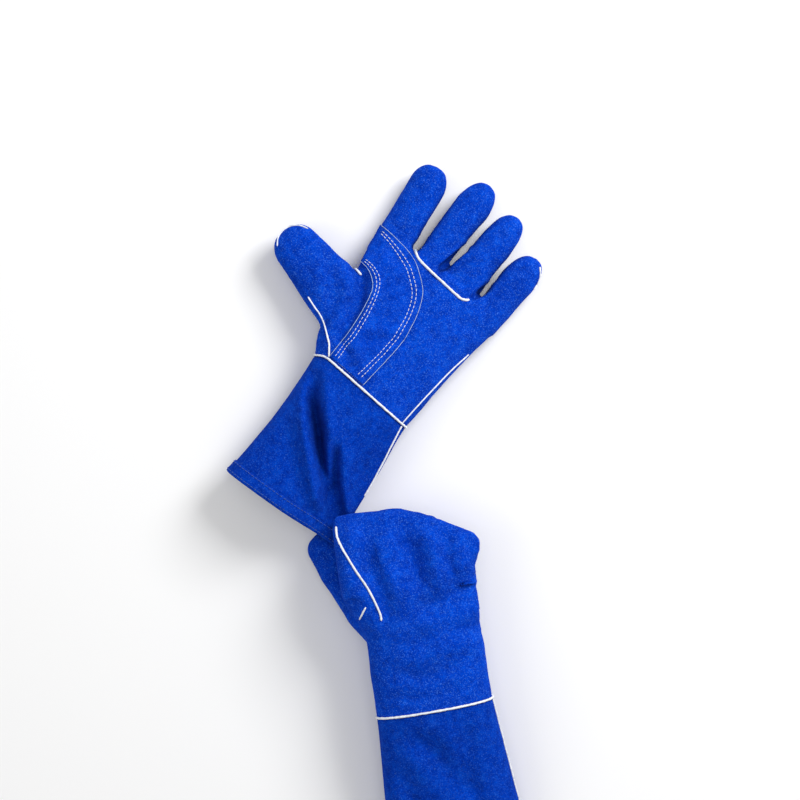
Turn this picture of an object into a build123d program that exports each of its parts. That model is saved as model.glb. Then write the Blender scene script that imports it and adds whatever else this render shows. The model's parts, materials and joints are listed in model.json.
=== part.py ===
"""Pair of leather welding gauntlets: left glove open and palm up, right glove gripping its cuff corner.

Each glove is built in its own hand frame: wrist seam centre at the origin, fingers along +Y, thumb
towards -X and palm towards +Z, with the back of the hand on Z = 0.  The left glove stays in that
frame.  The right glove is mirrored in Z, so that it lies back up, then turned and lifted into place.
"""
import os
from math import cos, pi, radians, sin

from build123d import *

os.makedirs("parts", exist_ok=True)

# ---- driving sizes, mm ----------------------------------------------------------------------
LEATHER = 1.4
LINING = 2.0
CANVAS = 1.2
WELT_WIDE = 3.0
WELT_PROUD = 1.7

WRIST_WIDTH = 109.0
WRIST_DEPTH = 54.0
KNUCKLE_WIDTH = 151.0
KNUCKLE_DEPTH = 34.0
KNUCKLE_Y = 139.0
KNUCKLE_X = 1.5
MID_PALM_Y = 62.0
MID_PALM_WIDTH = 123.0
MID_PALM_DEPTH = 47.0

CUFF_LENGTH = 132.0
HEM_BAND = 12.0
HEM_PROUD = 0.6
WRIST_FLEX = 34.0

FINGER_DEPTH = 26.0
THUMB_DEPTH = 25.0
TAPER = 2.0
FLEX_LENGTH = 18.0
LEAD = 8.0
FINGER_Z = KNUCKLE_DEPTH / 2
FINGERS = ("index", "middle", "ring", "little", "thumb")

# ---- places worked out from them ------------------------------------------------------------
WALL = LEATHER + LINING
CUFF_WALL = LEATHER + CANVAS
WELT_HALF = WELT_WIDE / 2
GUSSET = 2.5
GUSSET_Y = KNUCKLE_Y - GUSSET
HEM_Y = HEM_BAND - CUFF_LENGTH
HUGE = 400.0

EDGE_FLAT = 0.8
BACK_SPARE = 2.0
PALM_SPARE = 1.0

RIGHT_TURN = 45.0
GRIP_PAST_MOUTH = 68.2
RIGHT_WRIST = (225.9, -CUFF_LENGTH - GRIP_PAST_MOUTH)
RIGHT_BACK_Z = 76.0
CURL_SPARE = 2.0
RIGHT_CURL = FINGER_DEPTH / 2 + CURL_SPARE
INDEX_CURL = RIGHT_CURL + 1
INDEX_TURN = 66


def finger(root, heading, pitch, widths, depth, path, flex_end):
    """One finger: root centre, heading from +X and pitch to the palm in degrees, root and tip widths"""
    return dict(
        root=root,
        heading=heading,
        pitch=pitch,
        width=widths[0],
        tip_width=widths[1],
        depth=depth,
        path=path,
        flex_end=flex_end,
    )


def knuckle_finger(across, lean, share, path):
    """A finger that leaves the knuckle line, leaning `lean` degrees towards the little side

    Its place across the hand and its width are shares of the knuckle width.
    """
    root = (KNUCKLE_X + across * KNUCKLE_WIDTH, KNUCKLE_Y, FINGER_Z)
    width = share * KNUCKLE_WIDTH
    return finger(root, 90 - lean, 0, (width, width - TAPER), FINGER_DEPTH, path, FLEX_LENGTH)


# A path is a list of (length, turn) stretches, where a positive turn in degrees curls to the palm.
QUARTER = (RIGHT_CURL * pi / 2, 90)
INDEX_BEND = (INDEX_CURL * radians(INDEX_TURN), INDEX_TURN)
GLOVES = {
    "left": dict(
        mouth=(-60.0, 36.0, 0.0, 60.0),
        corner=((20.0, 54.0, 23.0, 8.0), (15.0, 64.0, 26.5, 8.0)),
        seam_at_mouth=30.5,
        index=knuckle_finger(-0.3755, -4.5, 0.2384, [(60, 0)]),
        middle=knuckle_finger(-0.1318, 5.0, 0.2318, [(75, 0)]),
        ring=knuckle_finger(0.1238, 6.0, 0.2450, [(65, 0)]),
        little=knuckle_finger(0.3808, 7.3, 0.2318, [(44, 0)]),
        thumb=finger((-56.0, 58.0, 24.0), 162, 0, (56, 40), THUMB_DEPTH, [(75, 0)], 35),
    ),
    "right": dict(
        mouth=(-65.0, 65.0, 16.0, 60.0),
        corner=None,
        seam_at_mouth=46.0,
        index=knuckle_finger(-0.3755, 0, 0.2384, [(24, 0), INDEX_BEND]),
        middle=knuckle_finger(-0.1318, 0, 0.2318, [(9, 0), QUARTER, (15.5, 0), QUARTER]),
        ring=knuckle_finger(0.1238, 0, 0.2450, [(2, 0), QUARTER, (15.5, 0), QUARTER]),
        little=knuckle_finger(0.3808, 0, 0.2318, [(2, 0), QUARTER, (24, 0)]),
        thumb=finger(
            (-58.0, 66.0, 29.0), 99.5, 35, (42, 40), THUMB_DEPTH, [(45, 0), (27.5, -35), (36, 0)], 50
        ),
    ),
}


# ---- helpers --------------------------------------------------------------------------------
def cross_plane(y):
    """Section plane across the hand at y, with its local y along the palm direction"""
    return Plane(origin=(0, y, 0), x_dir=(1, 0, 0), z_dir=(0, -1, 0))


def tube_between(*sections):
    """Loft through round-ended sections, each (y, left x, right x, low z, depth)"""
    with BuildPart() as tube:
        for y, left, right, low, depth in sections:
            with BuildSketch(cross_plane(y)):
                with Locations(((left + right) / 2, low + depth / 2)):
                    SlotOverall(right - left, depth)
        loft()
    return tube.part


def box_between(x0, x1, y0, y1, z0, z1):
    """Plain block between two corners"""
    with BuildPart() as block:
        with Locations(((x0 + x1) / 2, (y0 + y1) / 2, (z0 + z1) / 2)):
            Box(x1 - x0, y1 - y0, z1 - z0)
    return block.part


def joined(*solids):
    """Union of solids"""
    with BuildPart() as union:
        for solid in solids:
            add(solid)
    return union.part


def carved(stock, *tools):
    """Stock with every tool cut away"""
    with BuildPart() as rest:
        add(stock)
        for tool in tools:
            add(tool, mode=Mode.SUBTRACT)
    return rest.part


def common(stock, *limits):
    """What stock and every limit have in common"""
    with BuildPart() as shared:
        add(stock)
        for limit in limits:
            add(limit, mode=Mode.INTERSECT)
    return shared.part


# ---- hand -----------------------------------------------------------------------------------
def hand_form(grow):
    """Solid hand from the wrist seam to the knuckle line, grown all round"""
    sections = (
        (0, 0, WRIST_WIDTH, WRIST_DEPTH),
        (MID_PALM_Y, 0, MID_PALM_WIDTH, MID_PALM_DEPTH),
        (KNUCKLE_Y, KNUCKLE_X, KNUCKLE_WIDTH, KNUCKLE_DEPTH),
    )
    return tube_between(*(
        (y, x - width / 2 - grow, x + width / 2 + grow, -grow, depth + 2 * grow)
        for y, x, width, depth in sections
    ))


def seam_block(side):
    """Everything on the palm side (+1) or the back side (-1) of the slanted side seam"""
    fall = WRIST_DEPTH / 2 - KNUCKLE_DEPTH / 2
    with BuildPart() as block:
        with BuildSketch(Plane.YZ):
            with BuildLine():
                Polyline(
                    (0, WRIST_DEPTH / 2),
                    (KNUCKLE_Y, WRIST_DEPTH / 2 - fall),
                    (KNUCKLE_Y, side * HUGE),
                    (0, side * HUGE),
                    close=True,
                )
            make_face()
        extrude(amount=HUGE, both=True)
    return block.part


def seam_ribbon():
    """Thin slanted slab along the side seam, on the little-finger side"""
    fall = WRIST_DEPTH / 2 - KNUCKLE_DEPTH / 2
    with BuildPart() as slab:
        with BuildSketch(Plane.YZ):
            with BuildLine():
                Polyline(
                    (WELT_HALF, WRIST_DEPTH / 2 - WELT_HALF),
                    (GUSSET_Y, WRIST_DEPTH / 2 - fall - WELT_HALF),
                    (GUSSET_Y, WRIST_DEPTH / 2 - fall + WELT_HALF),
                    (WELT_HALF, WRIST_DEPTH / 2 + WELT_HALF),
                    close=True,
                )
            make_face()
        extrude(amount=HUGE)
    return slab.part


def palm_prism(outline):
    """Upright prism over the palm from an outline in plan"""
    with BuildPart() as prism:
        extrude(outline, amount=HUGE)
    return prism.part


def on_palm(*points):
    """Points in plan, from shares of the knuckle width and of the hand's length"""
    return [(across * KNUCKLE_WIDTH, up * KNUCKLE_Y) for across, up in points]


def patch_outline():
    """Crescent reinforcement from the index knuckle round the palm to the wrist seam"""
    outer = on_palm(
        (-0.503, 0.986),
        (-0.298, 0.978),
        (-0.159, 0.914),
        (-0.026, 0.791),
        (0.033, 0.554),
        (0.026, 0.345),
        (-0.026, 0),
    )
    inner = on_palm((-0.272, 0), (-0.258, 0.252), (-0.272, 0.504), (-0.325, 0.662), (-0.503, 0.748))
    with BuildSketch(Plane.XY.offset(KNUCKLE_DEPTH / 2)) as outline:
        with BuildLine():
            Spline(*outer)
            Line(outer[-1], inner[0])
            Spline(*inner)
            Line(inner[-1], outer[0])
        make_face()
    return outline.sketch


def ribbon_outline(*points):
    """Narrow strip, as wide as a welt, along a line of points"""
    with BuildSketch(Plane.XY.offset(KNUCKLE_DEPTH / 2)) as outline:
        with BuildLine():
            Polyline(*points)
        trace(line_width=WELT_WIDE)
    return outline.sketch


# ---- fingers --------------------------------------------------------------------------------
def station(path, s, palmward=0.0):
    """Point (forward, palmward) on a flexion path, s mm along it and offset towards the palm"""
    forward = 0.0
    rise = 0.0
    angle = 0.0
    for length, turn in path:
        step = min(s, length)
        swing = radians(turn) * step / length
        if turn:
            radius = length / radians(turn)
            forward += radius * (sin(angle + swing) - sin(angle))
            rise += radius * (cos(angle) - cos(angle + swing))
        else:
            forward += step * cos(angle)
            rise += step * sin(angle)
        angle += swing
        s -= step
        if s <= 0:
            break
    return (forward - palmward * sin(angle), rise + palmward * cos(angle))


def reach(path):
    """Length of a flexion path"""
    return sum(length for length, turn in path)


def stretches(path, start, end):
    """The part of each stretch of a path that lies between two stations, as (from, to, turn)"""
    at = 0.0
    for length, turn in path:
        low = max(start, at) if at else start
        high = min(end, at + length)
        if high - low > 0.01:
            yield low, high, turn
        at += length


def flexion_plane(f):
    """Plane that a finger curls in: local x runs along it and local y towards the palm"""
    heading = radians(f["heading"])
    pitch = radians(f["pitch"])
    along = (cos(heading) * cos(pitch), sin(heading) * cos(pitch), sin(pitch))
    return Plane(origin=f["root"], x_dir=along, z_dir=(sin(heading), -cos(heading), 0))


def plan_plane(f):
    """Plane through a finger's root, square to the palm direction, local x along the finger"""
    heading = radians(f["heading"])
    return Plane(origin=f["root"], x_dir=(cos(heading), sin(heading), 0), z_dir=(0, 0, 1))


def straight(f):
    """Whether a finger's path has no turn"""
    return all(turn == 0 for length, turn in f["path"])


def beyond(f):
    """Path length that lies past a finger's tip"""
    return reach(f["path"]) + f["depth"]


def flexion_profile(f, path, start, end, near, far, cap=None):
    """Band between two offsets of a flexion path, with a round cap of that radius at its end"""
    with BuildSketch(flexion_plane(f)) as profile:
        for low, high, turn in stretches(path, start, end):
            with BuildLine():
                for side, first, last in ((near, low, high), (far, high, low)):
                    if turn:
                        middle = (low + high) / 2
                        ThreePointArc(
                            station(path, first, side),
                            station(path, middle, side),
                            station(path, last, side),
                        )
                    else:
                        Line(station(path, first, side), station(path, last, side))
                Line(station(path, high, near), station(path, high, far))
                Line(station(path, low, far), station(path, low, near))
            make_face()
        if cap:
            with Locations(station(path, end)):
                Circle(cap)
    return profile.sketch


def finger_form(f, inset):
    """Solid finger, pillowed all round, with its root cut square"""
    half = f["depth"] / 2 - inset
    length = reach(f["path"])
    with BuildPart() as form:
        if straight(f):
            with BuildSketch(plan_plane(f)):
                Circle(f["width"] / 2 - inset)
                with Locations((length, 0)):
                    Circle(f["tip_width"] / 2 - inset)
                make_hull()
            extrude(amount=half, both=True)
            flats = form.faces().filter_by(Axis.Z)
            rims = flats.edges()
        else:
            profile = flexion_profile(f, f["path"], -LEAD, length, -half, half, half)
            extrude(profile, amount=f["width"] / 2 - inset, both=True)
            plane = flexion_plane(f)
            flats = form.faces().filter_by(Axis((0, 0, 0), plane.z_dir))
            rims = [
                edge
                for edge in flats.edges()
                if (edge.center() - plane.origin).dot(plane.x_dir) > LINING - LEAD
            ]
        fillet(rims, half - EDGE_FLAT)
    return form.part


def finger_zone(f, start, end, near=None, far=None):
    """Block round a stretch of a finger, whole or only between two offsets of its path"""
    half = f["depth"] / 2
    near = -half - BACK_SPARE if near is None else near
    far = half + PALM_SPARE if far is None else far
    past_tip = f["path"] + [(f["depth"], 0)]
    with BuildPart() as block:
        extrude(flexion_profile(f, past_tip, start, end, near, far), amount=f["width"], both=True)
    return block.part


def finger_skin(f, outer, inner):
    """Shell of a finger between two insets, beyond its flex zone"""
    stall = common(finger_form(f, outer), finger_zone(f, f["flex_end"], beyond(f)))
    return carved(stall, finger_form(f, inner))


def finger_front(f):
    """Palm-side leather of a stall"""
    return common(finger_skin(f, 0, LEATHER), finger_zone(f, f["flex_end"], beyond(f), near=0))


def finger_back(f):
    """Back-side leather of a stall"""
    return common(finger_skin(f, 0, LEATHER), finger_zone(f, f["flex_end"], beyond(f), far=0))


def finger_lining(f):
    """Cotton lining of a stall"""
    return finger_skin(f, LEATHER, WALL)


def flex_tube(f, hand):
    """Soft neck between the hand and a stall"""
    return carved(finger_form(f, 0), finger_form(f, WALL), finger_zone(f, f["flex_end"], beyond(f)), hand)


def finger_flex_zones(glove):
    """The five soft necks where the fingers and thumb bend"""
    behind_knuckles = box_between(-HUGE, HUGE, -HUGE, KNUCKLE_Y, -HUGE, HUGE)
    necks = [flex_tube(glove[name], behind_knuckles) for name in FINGERS[:-1]]
    return joined(*necks, flex_tube(glove["thumb"], hand_form(0)))


# ---- hand pieces ----------------------------------------------------------------------------
def hand_skin(glove, outer, inner):
    """Shell of the hand between two insets, from the wrist welt to the finger gussets"""
    length_of_palm = box_between(-HUGE, HUGE, WELT_HALF, GUSSET_Y, -HUGE, HUGE)
    shell = common(hand_form(-outer), length_of_palm)
    return carved(shell, hand_form(-inner), finger_form(glove["thumb"], WALL))


def palm_leather(glove):
    """Palm side of the hand"""
    return common(hand_skin(glove, 0, LEATHER), seam_block(1))


def back_leather(glove):
    """Back side of the hand"""
    return common(hand_skin(glove, 0, LEATHER), seam_block(-1))


def hand_lining(glove):
    """Cotton lining of the hand"""
    return hand_skin(glove, LEATHER, WALL)


def raised(glove, height, *prisms):
    """What stands on the palm leather inside any of the prisms, clear of the thumb"""
    length_of_palm = box_between(-HUGE, HUGE, WELT_HALF, GUSSET_Y, -HUGE, HUGE)
    layer = common(hand_form(height), length_of_palm, joined(*prisms))
    return carved(layer, hand_form(0), finger_form(glove["thumb"], 0))


def ribbons():
    """Prisms of the welts that run over the palm leather"""
    under_fingers = on_palm(
        (-0.238, 0.993),
        (-0.113, 0.964),
        (0.172, 0.914),
        (0.238, 0.942),
        (0.272, 0.993),
    )
    round_thumb = on_palm((-0.298, 0.014), (-0.371, 0.101), (-0.464, 0.216))
    return palm_prism(ribbon_outline(*under_fingers)), palm_prism(ribbon_outline(*round_thumb))


def palm_patch(glove):
    """Crescent reinforcement sewn on the palm"""
    return carved(raised(glove, LEATHER, palm_prism(patch_outline())), *ribbons())


def hand_welts(glove):
    """Welts in the side seam, round the thumb and under the finger fronts"""
    return raised(glove, WELT_PROUD, seam_ribbon(), *ribbons())


def finger_gussets(glove):
    """Wall between the fingers at the knuckle line, open into each finger"""
    wall = common(hand_form(0), box_between(-HUGE, HUGE, GUSSET_Y, KNUCKLE_Y, -HUGE, HUGE))
    return carved(wall, *(finger_form(glove[name], WALL) for name in FINGERS[:-1]))


def wrist_welt(glove):
    """Welt ring in the seam between the hand and the cuff"""
    ring = []
    for grow in (WELT_PROUD, -WALL):
        half = WRIST_WIDTH / 2 + grow
        ends = ((y, -half, half, -grow, WRIST_DEPTH + 2 * grow) for y in (-WELT_HALF, WELT_HALF))
        ring.append(tube_between(*ends))
    return carved(*ring)


# ---- cuff -----------------------------------------------------------------------------------
def cuff_form(glove, grow):
    """Solid cuff from the wrist seam to the mouth, grown all round"""
    wrist = (-WRIST_WIDTH / 2, WRIST_WIDTH / 2, 0, WRIST_DEPTH)
    pairs = [(wrist, glove["mouth"])]
    if glove["corner"]:
        pairs.append(glove["corner"])
    lofts = []
    for pair in pairs:
        lofts.append(tube_between(*(
            (y, left - grow, right + grow, low - grow, depth + 2 * grow)
            for y, (left, right, low, depth) in zip((0, -CUFF_LENGTH), pair)
        )))
    return joined(*lofts)


def cuff_skin(glove, outer, inner, start, end):
    """Shell of the cuff between two insets, over a length of it"""
    length = box_between(-HUGE, HUGE, end, start, -HUGE, HUGE)
    return carved(common(cuff_form(glove, -outer), length), cuff_form(glove, -inner))


def cuff_block(glove, side):
    """Everything on the palm side (+1) or the back side (-1) of the cuff's seam"""
    with BuildPart() as block:
        with BuildSketch(Plane.YZ):
            with BuildLine():
                Polyline(
                    (0, WRIST_DEPTH / 2),
                    (-CUFF_LENGTH, glove["seam_at_mouth"]),
                    (-CUFF_LENGTH, side * HUGE),
                    (0, side * HUGE),
                    close=True,
                )
            make_face()
        extrude(amount=HUGE, both=True)
    return block.part


def cuff_front(glove):
    """Palm side of the cuff"""
    return common(cuff_skin(glove, 0, LEATHER, -WRIST_FLEX, HEM_Y), cuff_block(glove, 1))


def cuff_back(glove):
    """Back side of the cuff"""
    return common(cuff_skin(glove, 0, LEATHER, -WRIST_FLEX, HEM_Y), cuff_block(glove, -1))


def cuff_lining(glove):
    """Canvas lining of the cuff"""
    return cuff_skin(glove, LEATHER, CUFF_WALL, -WRIST_FLEX, HEM_Y)


def cuff_hem(glove):
    """Folded and stitched band round the mouth"""
    return cuff_skin(glove, -HEM_PROUD, CUFF_WALL, HEM_Y, -CUFF_LENGTH)


def cuff_welt(glove):
    """Welt in the cuff's side seam, on the little-finger side"""
    drop = (glove["seam_at_mouth"] - WRIST_DEPTH / 2) / CUFF_LENGTH
    with BuildPart() as slab:
        with BuildSketch(Plane.YZ):
            with BuildLine():
                Polyline(
                    (-WRIST_FLEX, WRIST_DEPTH / 2 + drop * WRIST_FLEX - WELT_HALF),
                    (HEM_Y, WRIST_DEPTH / 2 - drop * HEM_Y - WELT_HALF),
                    (HEM_Y, WRIST_DEPTH / 2 - drop * HEM_Y + WELT_HALF),
                    (-WRIST_FLEX, WRIST_DEPTH / 2 + drop * WRIST_FLEX + WELT_HALF),
                    close=True,
                )
            make_face()
        extrude(amount=HUGE)
    return carved(common(cuff_form(glove, WELT_PROUD), slab.part), cuff_form(glove, 0))


def wrist_flex(glove):
    """Soft collar of the cuff that bends at the wrist"""
    return cuff_skin(glove, 0, CUFF_WALL, -WELT_HALF, -WRIST_FLEX)


# ---- nodes ----------------------------------------------------------------------------------
PIECES = (
    palm_leather,
    back_leather,
    palm_patch,
    hand_lining,
    hand_welts,
    finger_gussets,
    finger_flex_zones,
    wrist_welt,
    wrist_flex,
    cuff_front,
    cuff_back,
    cuff_lining,
    cuff_hem,
    cuff_welt,
)
FINGER_PIECES = (("front", finger_front), ("back", finger_back), ("lining", finger_lining))


def glove_pieces(glove):
    """Name and shape of every piece of one glove, in its hand frame"""
    for maker in PIECES:
        yield maker.__name__, maker(glove)
    for name in FINGERS:
        for layer, maker in FINGER_PIECES:
            yield f"{name}_{layer}", maker(glove[name])


def in_place(side, shape):
    """A piece moved from its hand frame to where the glove lies"""
    if side == "left":
        return shape
    mirrored = shape.mirror(Plane.XY)
    return mirrored.moved(Location((*RIGHT_WRIST, RIGHT_BACK_Z), (0, 0, RIGHT_TURN)))


placed = {
    f"{side}_{name}": in_place(side, shape)
    for side, glove in GLOVES.items()
    for name, shape in glove_pieces(glove)
}
boxes = [shape.bounding_box() for shape in placed.values()]
centre_x = (min(box.min.X for box in boxes) + max(box.max.X for box in boxes)) / 2
centre_y = (min(box.min.Y for box in boxes) + max(box.max.Y for box in boxes)) / 2
floor_z = min(box.min.Z for box in boxes)

for name, shape in placed.items():
    with BuildPart() as node:
        with Locations((-centre_x, -centre_y, -floor_z)):
            add(shape)
    node.part.label = name
    export_step(node.part, f"parts/{name}.step")
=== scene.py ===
"""Blue suede welding gauntlets: left glove open and palm up, right glove gripping its cuff corner."""
import json
from math import cos, exp, pi, radians, sin

import bpy
import numpy as np
from mathutils import Matrix, Vector, noise
from mathutils.bvhtree import BVHTree


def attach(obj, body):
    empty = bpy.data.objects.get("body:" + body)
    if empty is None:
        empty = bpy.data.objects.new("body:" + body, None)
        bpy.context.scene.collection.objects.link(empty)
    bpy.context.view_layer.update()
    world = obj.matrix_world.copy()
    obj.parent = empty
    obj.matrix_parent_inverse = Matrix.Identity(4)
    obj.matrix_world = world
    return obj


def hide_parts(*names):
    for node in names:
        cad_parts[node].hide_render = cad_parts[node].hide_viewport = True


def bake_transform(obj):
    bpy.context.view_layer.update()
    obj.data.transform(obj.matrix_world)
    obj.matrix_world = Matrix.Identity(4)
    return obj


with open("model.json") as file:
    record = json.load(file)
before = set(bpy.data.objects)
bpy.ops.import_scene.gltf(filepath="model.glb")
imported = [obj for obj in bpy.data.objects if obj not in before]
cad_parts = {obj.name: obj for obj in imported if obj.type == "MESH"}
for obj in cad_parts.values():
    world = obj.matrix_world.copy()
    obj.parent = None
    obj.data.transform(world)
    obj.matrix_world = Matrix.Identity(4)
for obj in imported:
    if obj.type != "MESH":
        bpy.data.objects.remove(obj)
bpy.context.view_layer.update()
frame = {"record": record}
JOINTS = {joint["name"]: joint for joint in frame["record"]["behaviour"]["joints"]}

# ---- sizes, mm ----
LEATHER = 1.5
VOXEL = 1.6  # of the mesh that joins the hand and its stalls
SKIN_SMOOTHING = 9  # passes
CUFF_LENGTH = 132.0
WRIST_X = 54.5  # half width at the wrist seam
WRIST_Z = 27.0  # half thickness there, and its height over the hand frame
ROUNDNESS = 2.3  # exponent of the superellipse sections
FLOOR_CLEARANCE = 0.6
STITCH_LENGTH = 2.9
STITCH_GAP = 1.2
STITCH_RADIUS = 0.30
PATCH_THICKNESS = 1.35

# ---- numbers of sides and steps ----
SPLINE_STEPS = 24
FINGER_STEPS, FINGER_SIDES = 44, 40
HAND_STEPS, HAND_SIDES = 60, 72
SHEET_SIDES = 96
CUFF_SIDES = 220
WELT_SIDES = 10
STITCH_SIDES = 6
RING_POINTS = 200
HEM_POINTS = 260
SEAM_POINTS = 90
PATCH_COLUMNS, PATCH_ROWS = 34, 120

# ---- view ----
LENS = 85  # mm
CAMERA_DISTANCE = 1.79  # m
CAMERA_AIM = Vector((0.0355, 0.0156, 0.02))  # m, from the left hand frame
PHOTO_TURN = radians(35)


# ---- camera ----
def anchor(joint, local):
    """World place of a hand frame's origin, from a joint whose place in that frame is known"""
    return Vector(JOINTS[joint]["pos_m"]) - local


WRIST_HINGE = Vector((0, -18, 27)) / 1000
LEFT_ORIGIN = anchor("left_wrist_bend", WRIST_HINGE)
RIGHT_TURN = Matrix.Rotation(radians(45), 4, "Z") @ Matrix.Diagonal((1, 1, -1, 1))
RIGHT_ORIGIN = anchor("right_wrist_bend", RIGHT_TURN @ WRIST_HINGE)
MILLI = Matrix.Diagonal((0.001, 0.001, 0.001, 1))
PLACE = {
    "left": Matrix.Translation(LEFT_ORIGIN) @ MILLI,
    "right": Matrix.Translation(RIGHT_ORIGIN) @ RIGHT_TURN @ MILLI,
}


def add_object(name, data):
    """Object with the given data, linked to the scene"""
    obj = bpy.data.objects.new(name, data)
    bpy.context.collection.objects.link(obj)
    return obj


def make_camera():
    """Camera straight above the pair, turned as the photographer saw it"""
    data = bpy.data.cameras.new("camera")
    data.lens = LENS
    data.clip_start = 0.05
    camera = add_object("camera", data)
    place = Matrix.Translation(LEFT_ORIGIN + CAMERA_AIM + Vector((0, 0, CAMERA_DISTANCE)))
    camera.matrix_world = place @ Matrix.Rotation(PHOTO_TURN, 4, "Z")
    bpy.context.scene.camera = camera


make_camera()


# ---- small maths ----
def ease(x):
    """Smooth step from 0 to 1"""
    x = min(max(x, 0.0), 1.0)
    return x * x * (3 - 2 * x)


def mix(a, b, t):
    """Linear blend"""
    return a + (b - a) * t


def power(value, exponent):
    """Signed power, for superellipses"""
    return abs(value) ** exponent * (1 if value >= 0 else -1)


def distances(points):
    """Distance along a polyline to each of its points"""
    walked = [0.0]
    for p, q in zip(points, points[1:]):
        walked.append(walked[-1] + (q - p).length)
    return walked


def along(points, count):
    """Evenly spaced points on a smooth curve through the given ones"""
    points = [Vector(p) for p in points]
    ends = [2 * points[0] - points[1]] + points + [2 * points[-1] - points[-2]]
    dense = []
    for i in range(1, len(ends) - 2):
        a, b, c, d = ends[i - 1:i + 3]
        square = 2 * a - 5 * b + 4 * c - d
        cube = 3 * b - a - 3 * c + d
        for k in range(SPLINE_STEPS):
            t = k / SPLINE_STEPS
            dense.append(0.5 * (2 * b + (c - a) * t + square * t * t + cube * t ** 3))
    dense.append(points[-1])
    walked = distances(dense)
    result = []
    k = 0
    for i in range(count):
        target = walked[-1] * i / (count - 1)
        while k < len(dense) - 2 and walked[k + 1] < target:
            k += 1
        t = (target - walked[k]) / max(walked[k + 1] - walked[k], 1e-9)
        result.append(dense[k].lerp(dense[k + 1], min(max(t, 0), 1)))
    return result


def middle(points):
    """Mean of several points"""
    return sum(points, Vector()) / len(points)


def line_distance(x, y, points):
    """Distance in plan from a point to a polyline, and how far along it is, 0 to 1"""
    best = (1e9, 0.0)
    total = len(points) - 1
    for i, ((x0, y0), (x1, y1)) in enumerate(zip(points, points[1:])):
        dx = x1 - x0
        dy = y1 - y0
        t = min(max(((x - x0) * dx + (y - y0) * dy) / (dx * dx + dy * dy), 0), 1)
        d = ((x - x0 - t * dx) ** 2 + (y - y0 - t * dy) ** 2) ** 0.5
        if d < best[0]:
            best = (d, (i + t) / total)
    return best


# The open glove's wrist seam is not straight: it rises towards the thumb, and dips at that edge.
BOW_RISE, BOW_SLOPE, BOW_REACH = 4.1, 0.115, 26
DIP_DEPTH, DIP_X, DIP_REACH = 7, -58, 9


def bowed(v):
    """Place of a point of the open glove once its wrist seam is bowed along the hand"""
    bow = BOW_RISE - BOW_SLOPE * v.x - DIP_DEPTH * exp(-((v.x - DIP_X) / DIP_REACH) ** 2)
    return Vector((v.x, v.y + bow * exp(-(v.y / BOW_REACH) ** 2), v.z))


# ---- meshes ----
def new_object(name, verts, faces, side, material):
    """Mesh object from hand-frame millimetres, placed in the row frame"""
    place = PLACE[side]
    mesh = bpy.data.meshes.new(name)
    verts = [Vector(v) for v in verts]
    if side == "right":
        faces = [tuple(reversed(face)) for face in faces]
    else:
        verts = [bowed(v) for v in verts]
    mesh.from_pydata([place @ v for v in verts], [], faces)
    mesh.update()
    mesh.polygons.foreach_set("use_smooth", [True] * len(mesh.polygons))
    mesh.materials.append(material)
    return add_object(name, mesh)


def ring_tube(rings):
    """Vertices and faces of a tube through equal rings, with each end closed by a fan"""
    n = len(rings[0])
    verts = [v for ring in rings for v in ring]
    faces = []
    for i in range(len(rings) - 1):
        for j in range(n):
            k = (j + 1) % n
            faces.append((i * n + j, i * n + k, (i + 1) * n + k, (i + 1) * n + j))
    for start, flip in ((0, True), ((len(rings) - 1) * n, False)):
        verts.append(middle(verts[start:start + n]))
        for j in range(n):
            a, b = start + j, start + (j + 1) % n
            faces.append((b, a, len(verts) - 1) if flip else (a, b, len(verts) - 1))
    return verts, faces


def section(centre, across, up, half_x, half_z, count):
    """Superellipse ring"""
    ring = []
    for j in range(count):
        angle = 2 * pi * j / count
        x = half_x * power(cos(angle), 2 / ROUNDNESS)
        z = half_z * power(sin(angle), 2 / ROUNDNESS)
        ring.append(centre + across * x + up * z)
    return ring


def flat_section(y, left, right, mid, half, count):
    """Superellipse ring across the hand, from one row of an outline"""
    centre = Vector(((left + right) / 2, y, mid))
    return section(centre, Vector((1, 0, 0)), Vector((0, 0, 1)), (right - left) / 2, half, count)


# ---- glove shapes ----
def station(path, s):
    """(forward, palmward, angle) at s mm along a flexion path of (length, turn) stretches"""
    forward = 0.0
    rise = 0.0
    angle = 0.0
    for length, turn in path:
        step = min(s, length)
        swing = radians(turn) * step / length
        if turn:
            radius = length / radians(turn)
            forward += radius * (sin(angle + swing) - sin(angle))
            rise += radius * (cos(angle) - cos(angle + swing))
        else:
            forward += step * cos(angle)
            rise += step * sin(angle)
        angle += swing
        s -= step
        if s <= 0:
            break
    return forward, rise, angle


def direction_of(finger):
    """Unit direction in which a stall leaves the hand"""
    heading = radians(finger["heading"])
    pitch = radians(finger.get("pitch", 0))
    return Vector((cos(heading) * cos(pitch), sin(heading) * cos(pitch), sin(pitch)))


# Share of a stall's section, and least half size in mm, that its last ring keeps.
TIP_SHARE, TIP_LEAST = 0.02, 0.4


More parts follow.
